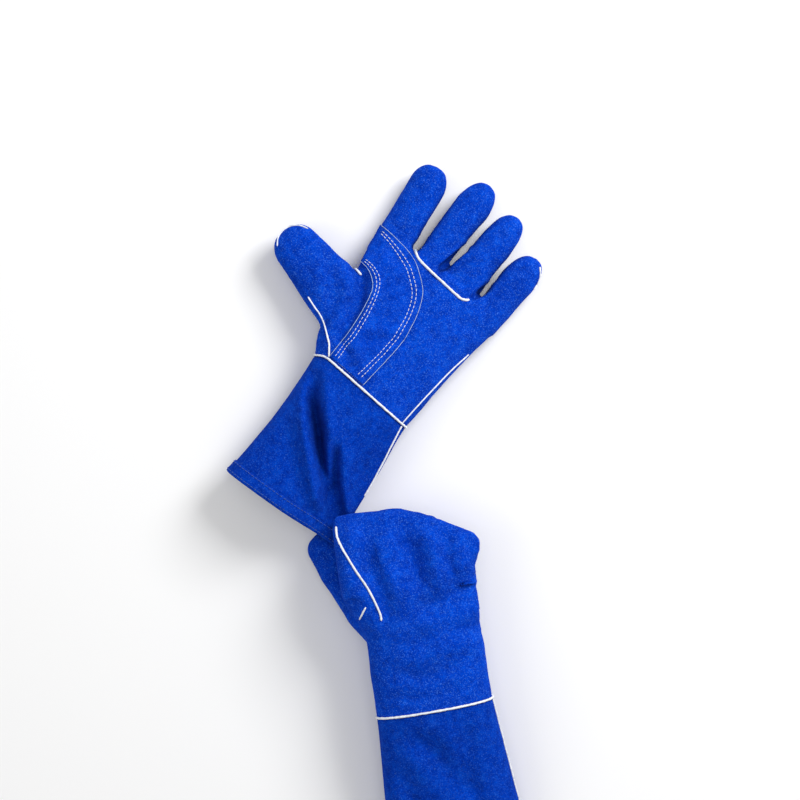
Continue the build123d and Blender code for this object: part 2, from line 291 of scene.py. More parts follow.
def finger_rings(finger):
    """Rings of one stall from inside the hand to its round tip, and the station of each ring"""
    root = Vector(finger["root"])
    heading = radians(finger["heading"])
    ahead = direction_of(finger)
    side = Vector((sin(heading), -cos(heading), 0))
    palm = side.cross(ahead)
    if palm.z < 0:
        palm = -palm
    path = finger["path"]
    total = sum(length for length, turn in path)
    cap = finger["cap"]
    rings = []
    stations = []
    for i in range(FINGER_STEPS + 1):
        s = mix(-finger["lead"], total, i / FINGER_STEPS)
        forward, rise, angle = station(path, s)
        t = max(s, 0) / total
        half_x = np.interp(t, *zip(*finger["widths"]))
        half_z = np.interp(t, *zip(*finger["depths"]))
        taper = 1.0
        left = total - s
        if left <= 0:
            taper = TIP_SHARE
        elif left < cap:
            taper = (1 - ((cap - left) / cap) ** ROUNDNESS) ** (1 / ROUNDNESS)
        normal = palm * cos(angle) - ahead * sin(angle)
        centre = root + ahead * forward + palm * rise
        half_x = max(half_x * taper, TIP_LEAST)
        half_z = max(half_z * taper, TIP_LEAST)
        rings.append(section(centre, side, normal, half_x, half_z, FINGER_SIDES))
        stations.append(s)
    return rings, stations


# Outline of each hand: (y, left x, right x, mid z, half thickness).
HAND_EDGES = {
    "left": (
        (-8, -54.5, 54.5, 27.0, 27.0),
        (0, -54.5, 54.5, 27.0, 27.0),
        (8, -58.0, 55.5, 26.6, 26.6),
        (20, -64.5, 57.0, 26.0, 26.2),
        (40, -68.5, 59.5, 24.8, 25.0),
        (67, -68.5, 62.5, 23.0, 23.2),
        (89, -69.0, 65.5, 21.3, 21.4),
        (108, -70.5, 69.6, 19.6, 19.6),
        (124, -72.0, 72.8, 18.0, 17.8),
        (134, -71.5, 73.0, 17.0, 15.8),
        (140, -69.0, 72.0, 17.0, 12.0),
    ),
    "right": (
        (-8, -54.5, 54.5, 27.0, 27.0),
        (0, -54.5, 54.5, 27.0, 27.0),
        (20, -54.5, 55.0, 26.0, 26.2),
        (40, -54.0, 55.5, 24.8, 25.0),
        (60, -52.5, 56.0, 23.4, 23.6),
        (75, -51.5, 56.5, 22.4, 22.6),
        (92, -57.0, 57.0, 21.0, 21.2),
        (108, -64.0, 58.5, 19.6, 19.6),
        (116, -66.0, 59.5, 18.8, 18.7),
        (124, -66.0, 60.5, 18.0, 17.8),
        (134, -66.0, 64.0, 17.0, 15.8),
        (140, -64.0, 63.0, 17.0, 12.0),
    ),
}


def hand_rings(side):
    """Rings of the hand from just behind the wrist seam to the crotch of the fingers"""
    edges = HAND_EDGES[side]
    columns = list(zip(*edges))
    rings = []
    for i in range(HAND_STEPS):
        y = mix(edges[0][0], edges[-1][0], i / (HAND_STEPS - 1))
        row = (float(np.interp(y, columns[0], column)) for column in columns[1:])
        rings.append(flat_section(y, *row, HAND_SIDES))
    return rings


# Widths and depths of a stall are pairs of (share of its length, half size). It starts lead mm behind
# its root, its round tip is cap mm long, and its own leather starts split mm past the root.
def straight_finger(x, lean, length, widths):
    """Open finger on the knuckle line"""
    return dict(
        root=(x, 139, 16.5), heading=90 - lean, path=[(length, 0)], widths=widths,
        depths=((0, 13.5), (0.5, 13.2), (1, 11.5)), cap=20, lead=22, split=8.5,
    )


def curled_finger(x, path, half, root_y=139):
    """Finger of the gripping hand"""
    return dict(
        root=(x, root_y, 17), heading=90, path=path,
        widths=((0, half), (0.5, half), (1, half - 1.2)),
        depths=((0, 14.5), (0.4, 13.2), (1, 12.0)), cap=14, lead=24, split=8.5,
    )


QUARTER = (23.6, 90)  # length and turn of a quarter bend
FINGERS = {
    "left": {
        "index": straight_finger(
            -55.8, -4.2, 78.5, ((0, 19.0), (0.12, 18.0), (0.4, 17.4), (0.75, 17.2), (1, 16.2)),
        ),
        "middle": straight_finger(
            -16.6, 3.0, 92.5, ((0, 16.4), (0.14, 15.2), (0.4, 15.8), (0.72, 17.2), (1, 13.6)),
        ),
        "ring": straight_finger(
            20.6, 5.6, 83, ((0, 19.4), (0.2, 18.2), (0.36, 17.0), (0.62, 16.8), (1, 13.0)),
        ),
        "little": straight_finger(
            58.9, 5.6, 61.5, ((0, 15.8), (0.15, 15.8), (0.3, 16.2), (0.55, 17.4), (1, 13.6)),
        ),
        "thumb": dict(
            root=(-40, 51, 24), heading=162.5, path=[(112, 0)],
            widths=((0, 33), (0.38, 28.5), (0.6, 25.2), (0.85, 21.8), (1, 20)),
            depths=((0, 17), (0.5, 14.5), (1, 12.0)), cap=21, lead=4, split=30,
        ),
    },
    "right": {
        "index": curled_finger(-49.4, [(24, 0), (18.4, 66), (13, 0)], 16.4),
        "middle": curled_finger(-17.0, [(16, 0), QUARTER, (14, 0), QUARTER, (12, 0)], 18.2),
        "ring": curled_finger(17.5, [(9, 0), QUARTER, (14, 0), QUARTER, (12, 0)], 18.0),
        "little": curled_finger(44.5, [(2, 0), QUARTER, (28, 0)], 15.4, 131),
        "thumb": dict(
            root=(-38, 70, 30), heading=112, pitch=33, path=[(46, 0), (27.5, -33), (50, 0)],
            widths=((0, 13), (0.3, 19), (0.7, 20.5), (1, 18.5)),
            depths=((0, 15), (0.5, 13), (1, 11.8)), cap=18, lead=8, split=34,
        ),
    },
}
# Loose leather over the gripping hand's knuckles: (y, left x, right x, mid z, half thickness).
KNUCKLE_SHEET = (
    (112, -62, 57, 16, 12),
    (128, -63, 60, 15, 12),
    (138, -63.5, 66, 15, 12),
    (147, -64, 68, 15.5, 11.5),
    (154, -64, 64, 16, 11),
    (163, -64, 50, 17, 10.5),
    (173, -64, 35, 18.5, 9.5),
    (182, -63.5, 17, 20, 8),
    (187.5, -62.5, 1, 22, 5.5),
    (190.5, -60, -42, 23, 3),
)
# Stall that carries the sheet up to each x, beyond the knuckle line at SHEET_SPLIT_Y.
SHEET_SPLITS = ((-35.5, "index"), (0.5, "middle"), (33.5, "ring"), (200, "little"))
SHEET_SPLIT_Y = 147.5
# Creases of the side that shows, the left palm and the right back: (points in plan, reach, depth).
CREASES = {
    "left": (
        (((3.6, 168), (0, 154), (-4.5, 137)), 2.6, 6.0),
        (((-34, 152), (-35, 140)), 3.0, 3.0),
        (((42, 150), (39, 139), (34, 131)), 3.0, 4.0),
        (((-66, 97), (-56, 86), (-49, 70), (-46, 48), (-44, 20)), 6.0, 5.0),
        (((-30, 37), (-6, 54), (17, 70)), 4.5, 1.5),
        (((-96, 84), (-80, 70), (-70, 52)), 6.0, 1.8),
        (((-44, 30), (-30, 18), (-20, 3)), 7.0, 2.0),
        (((20, 60), (34, 36), (38, 12)), 8.0, 2.0),
        (((-58, 126), (-44, 122), (-30, 120)), 5.0, 1.0),
        (((24, 112), (44, 108), (62, 112)), 6.0, 1.2),
    ),
    "right": (
        (((1, 166), (4, 138), (7, 108)), 10.0, 7.5),
        (((-46, 150), (-30, 112), (-26, 90)), 8.0, 3.0),
        (((60, 118), (30, 98), (-4, 92)), 9.0, 4.5),
        (((56, 66), (20, 74), (-10, 60)), 8.0, 3.0),
        (((-36, 160), (-34, 138), (-30, 120)), 6.0, 2.2),
        (((38, 160), (36, 138), (34, 122)), 6.0, 2.4),
        (((-30, 40), (0, 30), (34, 42)), 8.0, 2.0),
        (((10, 90), (34, 84), (52, 94)), 7.0, 1.6),
        (((-34, 20), (0, 12), (30, 20)), 6.0, 1.6),
    ),
}


# Unevenness of loose leather: height, and wave length along x, y and z, of its three sizes.
SLACK_WAVES = ((1.5, (46, 60, 34)), (0.75, (17, 22, 15)), (0.16, (6.5, 7.5, 6)))
SLACK_SEED = {"left": 3.1, "right": 8.7}
CUFF_SLACK_SEED = {"left": 5.3, "right": 1.9}


def slack(p, seed):
    """Gentle unevenness of loose leather, in mm"""
    total = 0.0
    for axis, (height, lengths) in enumerate(SLACK_WAVES):
        place = [p[i] / lengths[i] for i in range(3)]
        place[axis] += seed
        total += height * noise.noise(Vector(place))
    return total


def merged(parts):
    """Several vertex and face lists as one"""
    verts = []
    faces = []
    for part_verts, part_faces in parts:
        base = len(verts)
        verts += part_verts
        faces += [tuple(base + i for i in face) for face in part_faces]
    return verts, faces


def remeshed(parts):
    """One skin round several closed solids, as lists of vertices and faces"""
    verts, faces = merged(parts)
    mesh = bpy.data.meshes.new("form")
    mesh.from_pydata(verts, [], faces)
    obj = add_object("form", mesh)
    remesh = obj.modifiers.new("skin", "REMESH")
    remesh.mode = "VOXEL"
    remesh.voxel_size = VOXEL
    smooth = obj.modifiers.new("smooth", "SMOOTH")
    smooth.factor = 0.5
    smooth.iterations = SKIN_SMOOTHING
    done = bpy.data.meshes.new_from_object(obj.evaluated_get(bpy.context.evaluated_depsgraph_get()))
    bpy.data.objects.remove(obj)
    out_verts = [v.co.copy() for v in done.vertices]
    out_faces = [tuple(p.vertices) for p in done.polygons]
    bpy.data.meshes.remove(done)
    return out_verts, out_faces


def vertex_normals(verts, faces):
    """Unit normal of every vertex"""
    mesh = bpy.data.meshes.new("normals")
    mesh.from_pydata(verts, [], faces)
    mesh.update()
    result = [v.normal.copy() for v in mesh.vertices]
    bpy.data.meshes.remove(mesh)
    return result


SLACK_FADE = 14  # mm over which the creases grow from the wrist seam
RIDGE_SHARE = 0.35  # height of the ridge beside a crease, as a share of its depth
BACK_LIMIT = -0.2  # normals turned further away than this are on the hidden side
FLAT_SHARE = 0.12  # what is left of leather that would go below the floor


def make_form(side):
    """Skin of one hand with its creases, the normals of its vertices and the region of its faces"""
    parts = [ring_tube(hand_rings(side))]
    labels = [["hand"] * len(parts[0][1])]
    for name, finger in FINGERS[side].items():
        rings, stations = finger_rings(finger)
        verts, faces = ring_tube(rings)
        count = len(rings[0])
        marks = []
        for i in range(len(rings) - 1):
            region = name if (stations[i] + stations[i + 1]) / 2 > finger["split"] else "hand"
            marks += [region] * count
        marks += ["hand"] * count + [name] * count
        parts.append((verts, faces))
        labels.append(marks)
    if side == "right":
        verts, faces = ring_tube([flat_section(*row, SHEET_SIDES) for row in KNUCKLE_SHEET])
        marks = []
        for face in faces:
            centre = middle([verts[i] for i in face])
            finger = next(name for limit, name in SHEET_SPLITS if centre.x < limit)
            marks.append(finger if centre.y > SHEET_SPLIT_Y else "hand")
        parts.append((verts, faces))
        labels.append(marks)
    seeds = BVHTree.FromPolygons(*merged(parts))
    flat_labels = [mark for marks in labels for mark in marks]
    verts, faces = remeshed(parts)
    normals = vertex_normals(verts, faces)
    regions = []
    for face in faces:
        centre = middle([verts[i] for i in face])
        regions.append(flat_labels[seeds.find_nearest(centre)[2]])
    outer_side = 1 if side == "left" else -1
    shaped = []
    for v, n in zip(verts, normals):
        fade = ease(v.y / SLACK_FADE)
        push = slack(v, SLACK_SEED[side]) * fade
        if n.z * outer_side > BACK_LIMIT:
            for points, reach, depth in CREASES[side]:
                d, t = line_distance(v.x, v.y, points)
                if d < 3 * reach:
                    ends = min(1, 4 * min(t, 1 - t) + 0.35)
                    push -= fade * depth * ends * exp(-(d / reach) ** 2)
                    push += fade * depth * RIDGE_SHARE * ends * exp(-((d - 2 * reach) / reach) ** 2)
        shaped.append(v + n * push)
    if side == "left":
        for v in shaped:
            if v.z < FLOOR_CLEARANCE:
                v.z = FLOOR_CLEARANCE - (FLOOR_CLEARANCE - v.z) * FLAT_SHARE
    normals = vertex_normals(shaped, faces)
    return shaped, faces, normals, regions


HAND_START = -1.0  # y of the hand leather's raw end, under the wrist welt


def shell_piece(name, side, form, wanted, material):
    """Closed leather shell over the wanted faces of a form, with the form's own normals"""
    verts, faces, normals, regions = form
    chosen = []
    for face, region in zip(faces, regions):
        if region == wanted and min(verts[i].y for i in face) > HAND_START:
            chosen.append(face)
    used = sorted({i for face in chosen for i in face})
    number = {v: k for k, v in enumerate(used)}
    n = len(used)
    outer = [verts[i] for i in used]
    inner = [verts[i] - normals[i] * LEATHER for i in used]
    outer_faces = [tuple(number[i] for i in face) for face in chosen]
    inner_faces = [tuple(n + i for i in reversed(face)) for face in outer_faces]
    edges = dict.fromkeys(edge for face in outer_faces for edge in zip(face, face[1:] + face[:1]))
    rim = [(b, a, n + a, n + b) for a, b in edges if (b, a) not in edges]
    obj = new_object(name, outer + inner, outer_faces + inner_faces + rim, side, material)
    turn = PLACE[side].to_3x3().normalized()
    directions = [turn @ normals[i] for i in used] + [-(turn @ normals[i]) for i in used]
    obj.data.normals_split_custom_set_from_vertices([d.normalized() for d in directions])
    return obj


ABOVE, BELOW, MIDDLE = 120, -80, 20  # heights over, under and inside the hand


def drop(tree, x, y, upward=True):
    """Point and normal where a plan position meets the palm side, or the back"""
    start = Vector((x, y, ABOVE if upward else BELOW))
    hit, normal = tree.ray_cast(start, Vector((0, 0, -1 if upward else 1)))[:2]
    if hit is None:
        hit, normal = tree.find_nearest(Vector((x, y, MIDDLE)))[:2]
    return hit, normal


# ---- sewn detail ----
WELT_END = 0.35  # share of its section that a welt keeps at each end
WELT_LIFT, WELT_WIDE, WELT_HIGH = 0.45, 0.85, 1.15  # shares of its radius


def welt_mesh(points, normals, radius, seed, rough=0.30):
    """Thin leather piping with an uneven, frayed edge"""
    rings = []
    for i, (p, n) in enumerate(zip(points, normals)):
        ahead = (points[min(i + 1, len(points) - 1)] - points[max(i - 1, 0)]).normalized()
        across = ahead.cross(n).normalized()
        up = across.cross(ahead).normalized()
        shrink = WELT_END if i in (0, len(points) - 1) else 1.0
        ring = []
        for j in range(WELT_SIDES):
            angle = 2 * pi * j / WELT_SIDES
            coarse = Vector((p.x * 0.7 + seed, p.y * 0.7, p.z * 0.7 + 5 * cos(angle)))
            frayed = Vector((p.x * 2.1, p.y * 2.1 + seed, 9 * sin(angle)))
            jitter = 1 + rough * noise.noise(coarse)
            jitter += rough * 0.7 * noise.noise(frayed)
            outward = across * cos(angle) * WELT_WIDE + up * sin(angle) * WELT_HIGH
            ring.append(p + up * WELT_LIFT * radius + outward * radius * jitter * shrink)
        rings.append(ring)
    return ring_tube(rings)


# Sections of one stitch: share of its length, rise and width, as shares of its radius.
STITCH_SECTIONS = ((0.0, -0.35, 0.55), (0.18, 0.95, 1), (0.5, 0.95, 1), (0.82, 0.95, 1), (1.0, -0.35, 0.55))
STITCH_START = 0.14  # share of the pitch left free before a stitch
STITCH_AHEAD = 0.3  # mm ahead at which its direction is read
STITCH_FLATNESS = 0.8


def stitch_meshes(points, normals):
    """Row of lock stitches lying along a line on the surface"""
    walked = distances(points)
    total = walked[-1]
    count = max(int(total / (STITCH_LENGTH + STITCH_GAP)), 1)

    def at(s):
        k = int(np.searchsorted(walked, s)) - 1
        k = min(max(k, 0), len(points) - 2)
        t = (s - walked[k]) / max(walked[k + 1] - walked[k], 1e-9)
        return points[k].lerp(points[k + 1], t), normals[k].lerp(normals[k + 1], t).normalized()

    stitches = []
    for i in range(count):
        start = total * (i + STITCH_START) / count
        end = start + STITCH_LENGTH
        rings = []
        for t, rise_share, width_share in STITCH_SECTIONS:
            p, n = at(min(mix(start, end, t), total))
            q = at(min(mix(start, end, t) + STITCH_AHEAD, total))[0]
            ahead = (q - p).normalized() if (q - p).length > 1e-6 else Vector((1, 0, 0))
            across = ahead.cross(n).normalized()
            rise = STITCH_RADIUS * rise_share
            width = STITCH_RADIUS * width_share
            ring = []
            for j in range(STITCH_SIDES):
                angle = 2 * pi * j / STITCH_SIDES
                up = n * (rise + width * STITCH_FLATNESS * sin(angle))
                ring.append(p + up + across * width * cos(angle))
            rings.append(ring)
        stitches.append(ring_tube(rings))
    return merged(stitches)


def on_surface(tree, plan, spacing, upward=True):
    """A plan curve laid on the surface, as points and smoothed normals"""
    flat = [(x, y, 0) for x, y in plan]
    count = max(int(distances(along(flat, 60))[-1] / spacing), 6)
    points = []
    normals = []
    for p in along(flat, count):
        hit, normal = drop(tree, p.x, p.y, upward)
        points.append(hit)
        normals.append(normal)
    return points, [sum(normals[max(i - 2, 0):i + 3], Vector()).normalized() for i in range(count)]


# ---- materials ----
def new_material(name):
    """Material with its node tree's useful parts"""
    material = bpy.data.materials.new(name)
    material.use_nodes = True
    tree = material.node_tree
    return material, tree.nodes, tree.links, tree.nodes["Principled BSDF"]


def noise_node(nodes, links, coords, scale, detail, roughness=0.55, distortion=0.0):
    """Noise texture on object coordinates, in features per metre"""
    node = nodes.new("ShaderNodeTexNoise")
    node.inputs["Scale"].default_value = scale
    node.inputs["Detail"].default_value = detail
    node.inputs["Roughness"].default_value = roughness
    node.inputs["Distortion"].default_value = distortion
    links.new(coords.outputs["Object"], node.inputs["Vector"])
    return node


def ramp_node(nodes, links, source, stops):
    """Colour ramp over a value"""
    node = nodes.new("ShaderNodeValToRGB")
    links.new(source, node.inputs["Fac"])
    elements = node.color_ramp.elements
    elements[0].position, elements[0].color = stops[0][0], (*stops[0][1], 1)
    elements[1].position, elements[1].color = stops[-1][0], (*stops[-1][1], 1)
    for position, color in stops[1:-1]:
        element = elements.new(position)
        element.color = (*color, 1)
    return node


def mix_node(nodes, links, kind, factor, a, b):
    """Colour mix of two sockets"""
    node = nodes.new("ShaderNodeMix")
    node.data_type = "RGBA"
    node.blend_type = kind
    if isinstance(factor, float):
        node.inputs["Factor"].default_value = factor
    else:
        links.new(factor, node.inputs["Factor"])
    for socket, value in ((node.inputs["A"], a), (node.inputs["B"], b)):
        if isinstance(value, tuple):
            socket.default_value = (*value, 1)
        else:
            links.new(value, socket)
    return node.outputs["Result"]


def bump_node(nodes, links, height, strength, distance):
    """Bump from a height socket"""
    node = nodes.new("ShaderNodeBump")
    node.inputs["Strength"].default_value = strength
    node.inputs["Distance"].default_value = distance
    links.new(height, node.inputs["Height"])
    return node


def suede(name, tint=1.0, dust=0.55):
    """Split cowhide: mottled nap with paler scuffed specks, and painted shade darkening its folds and hollows
    """
    material, nodes, links, shader = new_material(name)
    coords = nodes.new("ShaderNodeTexCoord")
    broad = noise_node(nodes, links, coords, 22, 3, 0.6, 0.4)
    cloudy = noise_node(nodes, links, coords, 120, 6, 0.7, 0.3)
    nap = noise_node(nodes, links, coords, 780, 5, 0.75)
    specks = noise_node(nodes, links, coords, 900, 3, 0.6)
    deep = (0.0, 0.026 * tint, 0.33 * tint)
    mid = (0.0, 0.045 * tint, 0.50 * tint)
    pale = (0.002, 0.080 * tint, 0.65 * tint)
    clouds = ramp_node(nodes, links, cloudy.outputs["Fac"], ((0.28, deep), (0.50, mid), (0.74, pale)))
    patches = ((0.3, (0.7, 0.72, 0.80)), (0.7, (1.1, 1.1, 1.05)))
    wide = ramp_node(nodes, links, broad.outputs["Fac"], patches)
    base = mix_node(nodes, links, "MULTIPLY", 0.8, clouds.outputs["Color"], wide.outputs["Color"])
    hairs = ((0.34, (0.4, 0.45, 0.62)), (0.66, (1.5, 1.45, 1.28)))
    grain = ramp_node(nodes, links, nap.outputs["Fac"], hairs)
    napped = mix_node(nodes, links, "MULTIPLY", 0.7, base, grain.outputs["Color"])
    spots = ramp_node(nodes, links, specks.outputs["Fac"], ((0.55, (0, 0, 0)), (0.68, (dust, dust, dust))))
    dusty = mix_node(nodes, links, "MIX", spots.outputs["Color"], napped, (0.08, 0.25, 0.82))
    # Painted shade: ambient occlusion darkens the colour in folds, creases and hollows, where shade falls.
    occlusion_shade = nodes.new("ShaderNodeAmbientOcclusion")
    occlusion_shade.samples = 8
    occlusion_shade.inputs["Distance"].default_value = 0.022
    painted_fold_shade = ramp_node(nodes, links, occlusion_shade.outputs["AO"], ((0.25, (0.10, 0.22, 0.34)), (0.85, (1, 1, 1))))
    color = mix_node(nodes, links, "MULTIPLY", 0.85, dusty, painted_fold_shade.outputs["Color"])
    links.new(color, shader.inputs["Base Color"])
    shader.inputs["Roughness"].default_value = 0.95
    shader.inputs["Specular IOR Level"].default_value = 0.02
    shader.inputs["Sheen Weight"].default_value = 0.04
    shader.inputs["Sheen Roughness"].default_value = 0.5
    shader.inputs["Sheen Tint"].default_value = (0.2, 0.45, 1.0, 1)
    pebbles = nodes.new("ShaderNodeTexVoronoi")
    pebbles.inputs["Scale"].default_value = 620
    links.new(coords.outputs["Object"], pebbles.inputs["Vector"])
    height = nodes.new("ShaderNodeMath")
    height.operation = "MULTIPLY_ADD"
    height.inputs[1].default_value = 0.5
    links.new(pebbles.outputs["Distance"], height.inputs[0])
    links.new(nap.outputs["Fac"], height.inputs[2])
    fine = bump_node(nodes, links, height.outputs["Value"], 0.6, 0.0005)
    creased = bump_node(nodes, links, cloudy.outputs["Fac"], 0.3, 0.0016)
    links.new(fine.outputs["Normal"], creased.inputs["Normal"])
    links.new(creased.outputs["Normal"], shader.inputs["Normal"])
    return material


def pale_leather(name):
    """Raw white welt leather, slightly grubby"""
    material, nodes, links, shader = new_material(name)
    coords = nodes.new("ShaderNodeTexCoord")
    dirt = noise_node(nodes, links, coords, 260, 4, 0.7)
    stops = ((0.28, (0.42, 0.50, 0.66)), (0.45, (0.80, 0.83, 0.87)), (0.7, (0.93, 0.93, 0.92)))
    color = ramp_node(nodes, links, dirt.outputs["Fac"], stops)
    links.new(color.outputs["Color"], shader.inputs["Base Color"])
    shader.inputs["Roughness"].default_value = 0.85
    shader.inputs["Specular IOR Level"].default_value = 0.25
    bump = bump_node(nodes, links, dirt.outputs["Fac"], 0.6, 0.0006)
    links.new(bump.outputs["Normal"], shader.inputs["Normal"])
    return material


def thread(name, shade=(0.50, 0.60, 0.78), pale=(0.90, 0.92, 0.94)):
    """Waxed cotton thread with a twist"""
    material, nodes, links, shader = new_material(name)
    coords = nodes.new("ShaderNodeTexCoord")
    twist = noise_node(nodes, links, coords, 1500, 2)
    color = ramp_node(nodes, links, twist.outputs["Fac"], ((0.3, shade), (0.6, pale)))
    links.new(color.outputs["Color"], shader.inputs["Base Color"])
    shader.inputs["Roughness"].default_value = 0.6
    shader.inputs["Sheen Weight"].default_value = 0.3
    return material


def woven(name, pale, shade, scale):
    """Plain-woven or brushed cotton"""
    material, nodes, links, shader = new_material(name)
    coords = nodes.new("ShaderNodeTexCoord")
    fluff = noise_node(nodes, links, coords, scale * 0.4, 5, 0.7)
    weave = nodes.new("ShaderNodeTexWave")
    weave.inputs["Scale"].default_value = scale
    weave.inputs["Distortion"].default_value = 1.2
    weave.inputs["Detail"].default_value = 2
    links.new(coords.outputs["Object"], weave.inputs["Vector"])
    color = ramp_node(nodes, links, fluff.outputs["Fac"], ((0.3, shade), (0.7, pale)))
    threads = ramp_node(nodes, links, weave.outputs["Fac"], ((0.2, (0.72, 0.72, 0.72)), (0.8, (1, 1, 1))))
    cloth = mix_node(nodes, links, "MULTIPLY", 0.6, color.outputs["Color"], threads.outputs["Color"])
    links.new(cloth, shader.inputs["Base Color"])
    shader.inputs["Roughness"].default_value = 0.95
    shader.inputs["Sheen Weight"].default_value = 0.25
    bump = bump_node(nodes, links, weave.outputs["Fac"], 0.5, 0.0005)
    links.new(bump.outputs["Normal"], shader.inputs["Normal"])
    return material


SUEDE = suede("blue_suede")
CUFF_SUEDE = suede("blue_suede_cuff", 0.84, 0.3)
PATCH_SUEDE = suede("blue_suede_patch", 1.04, 0.45)
WELT = pale_leather("white_welt")
THREAD = thread("stitch_thread")
RAW_EDGE = thread("raw_edge", (0.10, 0.26, 0.70), (0.55, 0.70, 0.92))
BLUE_THREAD = thread("blue_thread", (0.001, 0.03, 0.25), (0.006, 0.09, 0.48))
COTTON = woven("cotton_lining", (0.80, 0.78, 0.72), (0.55, 0.53, 0.48), 900)
CANVAS = woven("canvas_lining", (0.74, 0.71, 0.64), (0.50, 0.48, 0.42), 1300)


# ---- cuff ----
# Mouth of each cuff: centre and half width across, middle height, half thickness, and how far the
# thumb's side is drawn in between the wrist seam and the mouth.
CUFF_SHAPE = {
    "left": dict(centre=2.0, half=62.0, mid=30.5, rest=29.0, waist=4.0),
    "right": dict(centre=0.0, half=65.0, mid=46.0, rest=29.0, waist=0.0),
}
# Folds: (points in plan, reach, depth, on the palm side (1) or the back (-1)).
CUFF_FOLDS = {
    "left": (
        (((-48, -12), (-34, -29), (-13, -50), (8, -71), (31, -94), (48, -108)), 5.5, 15.0, 1),
        (((4, -46), (29, -80), (48, -103)), 4.0, 10.0, 1),
        (((-4, -50), (18, -76), (44, -105)), 4.5, -4.0, 1),
        (((-42, -42), (-10, -72), (24, -102)), 8.0, -4.0, 1),
        (((20, -44), (40, -74), (54, -98)), 6.0, -3.5, 1),
        (((40, -10), (48, -34), (50, -60)), 6.0, 3.0, 1),
    ),
    "right": (
        (((-30, -16), (-6, -40), (14, -78)), 9.0, 4.0, -1),
        (((30, -14), (20, -48), (24, -96)), 9.0, 3.5, -1),
        (((-46, -40), (-34, -80), (-38, -118)), 8.0, 2.5, -1),
        (((-20, -20), (0, -60), (-10, -110)), 9.0, 3.0, 1),
    ),
}


# The left cuff's pinched corner: half thickness, and the x where it starts and its width.
PINCH_REST, PINCH_X, PINCH_WIDTH = 4.2, 2, 52
PINCH_START = 0.80  # share of the cuff's length over which it grows
CUFF_TOP = 75.4  # highest that the right cuff reaches
EDGE_SHARPNESS = 10  # keeps the inset of the flat sides out of x


def cuff_point(side, angle, y, inset=0.0):
    """Point of the cuff's skin, angle 0 at the little-finger side and 90 degrees on the palm side"""
    shape = CUFF_SHAPE[side]
    t = -y / CUFF_LENGTH
    across = power(cos(angle), 2 / ROUNDNESS)
    over = power(sin(angle), 2 / ROUNDNESS)
    mid = mix(WRIST_Z, shape["mid"], t)
    x = mix(0, shape["centre"], t) + mix(WRIST_X, shape["half"], t) * across
    x += shape["waist"] * sin(pi * min(t, 1)) * ease(-across)
    thick = mix(WRIST_Z, shape["rest"], t)
    if side == "left":
        flat = ease((x - PINCH_X) / PINCH_WIDTH)
        thick = mix(thick, mix(thick, PINCH_REST, flat), ease(t / PINCH_START))
    z = mid + thick * over
    face = 1 if z > mid else -1
    push = 0.0
    for points, reach, depth, facing in CUFF_FOLDS[side]:
        if facing == face:
            d, along_fold = line_distance(x, y, points)
            strength = depth * ease(3 * along_fold + 0.15) * abs(sin(angle)) ** 0.5
            ridge = RIDGE_SHARE * strength * exp(-((d - 2.1 * reach) / reach) ** 2)
            push += strength * exp(-(d / reach) ** 2) - ridge
    fade = ease(t * 9)
    z -= face * min(push, 0.75 * max(thick - 3, 0.5)) * fade
    wave = slack((x, y, z), CUFF_SLACK_SEED[side]) * fade
    z += face * wave * 0.8 * min(1, thick / 16) - inset * over
    x += 0.5 * wave * cos(angle) - inset * power(cos(angle), EDGE_SHARPNESS)
    if side == "left":
        z = max(z, FLOOR_CLEARANCE + inset)
    else:
        z = min(z, CUFF_TOP - inset)
    return Vector((x, y, z))


def cuff_band(side, profile):
    """Closed band round the cuff from a list of (y, inset) corners of its section"""
    count = CUFF_SIDES
    verts = [cuff_point(side, 2 * pi * j / count, y, inset) for y, inset in profile for j in range(count)]
    faces = []
    for i in range(len(profile)):
        k = (i + 1) % len(profile)
        for j in range(count):
            l = (j + 1) % count
            faces.append((i * count + j, k * count + j, k * count + l, i * count + l))
    return verts, faces


def band_profile(y0, y1, outer, inner, step=2.0):
    """Section of a band between two ends of the cuff and two insets, with its corners eased"""
    n = max(int(abs(y1 - y0) / step), 2)
    down = [(mix(y0, y1, i / n), outer) for i in range(n + 1)]
    up = [(mix(y1, y0, i / n), inner) for i in range(n + 1)]
    soft = 0.35 * (inner - outer)
    down[0] = (y0, outer + soft)
    down[-1] = (y1, outer + soft)
    return down + up


BAND_START, BAND_END = -0.4, -121  # y of the cuff panels' ends, under the welt and in the hem
LINING_INSETS = (LEATHER + 0.3, LEATHER + 1.3)
# Folded hem round the mouth, as (y, inset) corners.
HEM_SECTION = (
    (-119, -0.2), (-119.4, -1.1), (-122, -1.5), (-126, -1.4), (-130, -1.5), (-131.6, -1.0), (-132.2, 0.2),
    (-132.0, 1.8), (-131, 2.9), (-127, 3.1), (-121, 3.2), (-118.6, 2.9), (-118.4, 2.0),
)
HEM_ROWS = (("hem_stitch_upper", -120.6), ("hem_stitch_lower", -129.4))
HEM_ROW_LIFT = 1.55
# Seam welt: angle round the cuff in degrees, y of its far end, and how far its outward side leans up.
CUFF_SEAM = {"left": (24, -78, 0.6), "right": (-6, -119, -0.4)}
SEAM_START = -1.5


